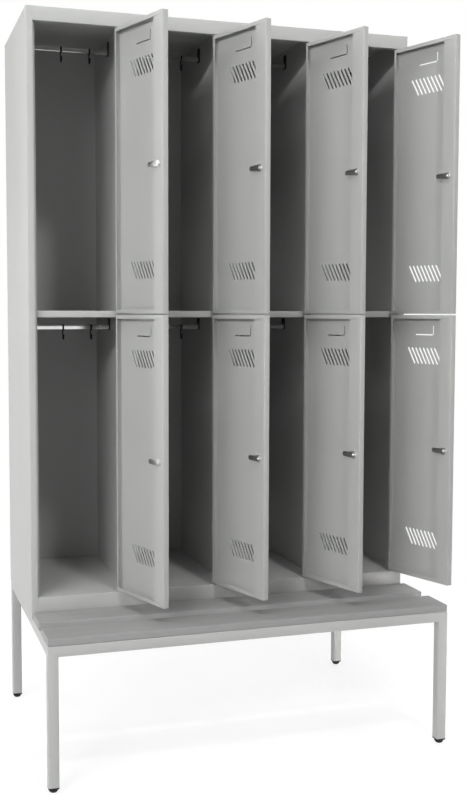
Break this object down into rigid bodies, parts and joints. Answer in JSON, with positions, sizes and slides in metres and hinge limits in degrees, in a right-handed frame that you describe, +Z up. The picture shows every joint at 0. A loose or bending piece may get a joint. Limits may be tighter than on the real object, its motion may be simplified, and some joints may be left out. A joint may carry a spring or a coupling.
{
  "type": "locker with bench",
  "caption": "Steel cloakroom locker with vented double-tier doors on cam locks, coat rails with hooks inside, standing on a tube-frame bench with a slatted seat.",
  "frame": {"origin": "centre of the floor outline with the doors open, at floor level", "axes": "+Z up, -Y toward a person who stands before the doors, +X to that person's right"},
  "size_m": [1.2778, 0.82, 2.2153],
  "materials": {
    "body_paint": "light grey powder coat",
    "seat_paint": "grey lacquer, satin",
    "rail_steel": "bright zinc, with black hooks",
    "lock_zinc": "satin chrome",
    "foot_plastic": "black moulded plastic"
  },
  "bodies": {
    "frame": {"back_panel": "body_paint", "bench_foot_front_left": "foot_plastic", "bench_foot_front_right": "foot_plastic", "bench_foot_rear_left": "foot_plastic", "bench_foot_rear_right": "foot_plastic", "bench_leg_front_left": "body_paint", "bench_leg_front_right": "body_paint", "bench_leg_rear_left": "body_paint", "bench_leg_rear_right": "body_paint", "bench_rail_front": "body_paint", "bench_rail_left": "body_paint", "bench_rail_rear": "body_paint", "bench_rail_right": "body_paint", "bottom_panel": "body_paint", "coat_rail_1_lower": "rail_steel", "coat_rail_1_upper": "rail_steel", "coat_rail_2_lower": "rail_steel", "coat_rail_2_upper": "rail_steel", "coat_rail_3_lower": "rail_steel", "coat_rail_3_upper": "rail_steel", "coat_rail_4_lower": "rail_steel", "coat_rail_4_upper": "rail_steel", "partition_1": "body_paint", "partition_2": "body_paint", "partition_3": "body_paint", "seat_slat_front": "seat_paint", "seat_slat_rear": "seat_paint", "shelf_1": "body_paint", "shelf_2": "body_paint", "shelf_3": "body_paint", "shelf_4": "body_paint", "side_left": "body_paint", "side_right": "body_paint", "top_panel": "body_paint"},
    "leaf_1_lower": {"door_1_lower": "body_paint", "lock_barrel_1_lower": "lock_zinc"},
    "cam_1_lower": {"lock_cam_1_lower": "lock_zinc"},
    "leaf_1_upper": {"door_1_upper": "body_paint", "lock_barrel_1_upper": "lock_zinc"},
    "cam_1_upper": {"lock_cam_1_upper": "lock_zinc"},
    "leaf_2_lower": {"door_2_lower": "body_paint", "lock_barrel_2_lower": "lock_zinc"},
    "cam_2_lower": {"lock_cam_2_lower": "lock_zinc"},
    "leaf_2_upper": {"door_2_upper": "body_paint", "lock_barrel_2_upper": "lock_zinc"},
    "cam_2_upper": {"lock_cam_2_upper": "lock_zinc"},
    "leaf_3_lower": {"door_3_lower": "body_paint", "lock_barrel_3_lower": "lock_zinc"},
    "cam_3_lower": {"lock_cam_3_lower": "lock_zinc"},
    "leaf_3_upper": {"door_3_upper": "body_paint", "lock_barrel_3_upper": "lock_zinc"},
    "cam_3_upper": {"lock_cam_3_upper": "lock_zinc"},
    "leaf_4_lower": {"door_4_lower": "body_paint", "lock_barrel_4_lower": "lock_zinc"},
    "cam_4_lower": {"lock_cam_4_lower": "lock_zinc"},
    "leaf_4_upper": {"door_4_upper": "body_paint", "lock_barrel_4_upper": "lock_zinc"},
    "cam_4_upper": {"lock_cam_4_upper": "lock_zinc"}
  },
  "joints": [
    {"name": "door_swing_1_lower", "type": "hinge", "parent": "frame", "child": "leaf_1_lower", "pos_m": [-0.36236, -0.1145, 0.4813], "axis": [0, 0, 1], "range_deg": [-108.6, 3.5]},
    {"name": "cam_turn_1_lower", "type": "hinge", "parent": "leaf_1_lower", "child": "cam_1_lower", "pos_m": [-0.28363, -0.33121, 0.9028], "axis": [-0.9478, -0.319, 0], "range_deg": [0, 180]},
    {"name": "door_swing_1_upper", "type": "hinge", "parent": "frame", "child": "leaf_1_upper", "pos_m": [-0.36236, -0.1145, 1.3283], "axis": [0, 0, 1], "range_deg": [-108.6, 3.5]},
    {"name": "cam_turn_1_upper", "type": "hinge", "parent": "leaf_1_upper", "child": "cam_1_upper", "pos_m": [-0.28363, -0.33121, 1.7498], "axis": [-0.9478, -0.319, 0], "range_deg": [0, 180]},
    {"name": "door_swing_2_lower", "type": "hinge", "parent": "frame", "child": "leaf_2_lower", "pos_m": [-0.05736, -0.1145, 0.4813], "axis": [0, 0, 1], "range_deg": [-108.6, 3.5]},
    {"name": "cam_turn_2_lower", "type": "hinge", "parent": "leaf_2_lower", "child": "cam_2_lower", "pos_m": [0.02137, -0.33121, 0.9028], "axis": [-0.9478, -0.319, 0], "range_deg": [0, 180]},
    {"name": "door_swing_2_upper", "type": "hinge", "parent": "frame", "child": "leaf_2_upper", "pos_m": [-0.05736, -0.1145, 1.3283], "axis": [0, 0, 1], "range_deg": [-108.6, 3.5]},
    {"name": "cam_turn_2_upper", "type": "hinge", "parent": "leaf_2_upper", "child": "cam_2_upper", "pos_m": [0.02137, -0.33121, 1.7498], "axis": [-0.9478, -0.319, 0], "range_deg": [0, 180]},
    {"name": "door_swing_3_lower", "type": "hinge", "parent": "frame", "child": "leaf_3_lower", "pos_m": [0.24764, -0.1145, 0.4813], "axis": [0, 0, 1], "range_deg": [-108.6, 3.5]},
    {"name": "cam_turn_3_lower", "type": "hinge", "parent": "leaf_3_lower", "child": "cam_3_lower", "pos_m": [0.32637, -0.33121, 0.9028], "axis": [-0.9478, -0.319, 0], "range_deg": [0, 180]},
    {"name": "door_swing_3_upper", "type": "hinge", "parent": "frame", "child": "leaf_3_upper", "pos_m": [0.24764, -0.1145, 1.3283], "axis": [0, 0, 1], "range_deg": [-108.6, 3.5]},
    {"name": "cam_turn_3_upper", "type": "hinge", "parent": "leaf_3_upper", "child": "cam_3_upper", "pos_m": [0.32637, -0.33121, 1.7498], "axis": [-0.9478, -0.319, 0], "range_deg": [0, 180]},
    {"name": "door_swing_4_lower", "type": "hinge", "parent": "frame", "child": "leaf_4_lower", "pos_m": [0.55264, -0.1145, 0.4813], "axis": [0, 0, 1], "range_deg": [-108.6, 3.5]},
    {"name": "cam_turn_4_lower", "type": "hinge", "parent": "leaf_4_lower", "child": "cam_4_lower", "pos_m": [0.63137, -0.33121, 0.9028], "axis": [-0.9478, -0.319, 0], "range_deg": [0, 180]},
    {"name": "door_swing_4_upper", "type": "hinge", "parent": "frame", "child": "leaf_4_upper", "pos_m": [0.55264, -0.1145, 1.3283], "axis": [0, 0, 1], "range_deg": [-108.6, 3.5]},
    {"name": "cam_turn_4_upper", "type": "hinge", "parent": "leaf_4_upper", "child": "cam_4_upper", "pos_m": [0.63137, -0.33121, 1.7498], "axis": [-0.9478, -0.319, 0], "range_deg": [0, 180]}
  ]
}
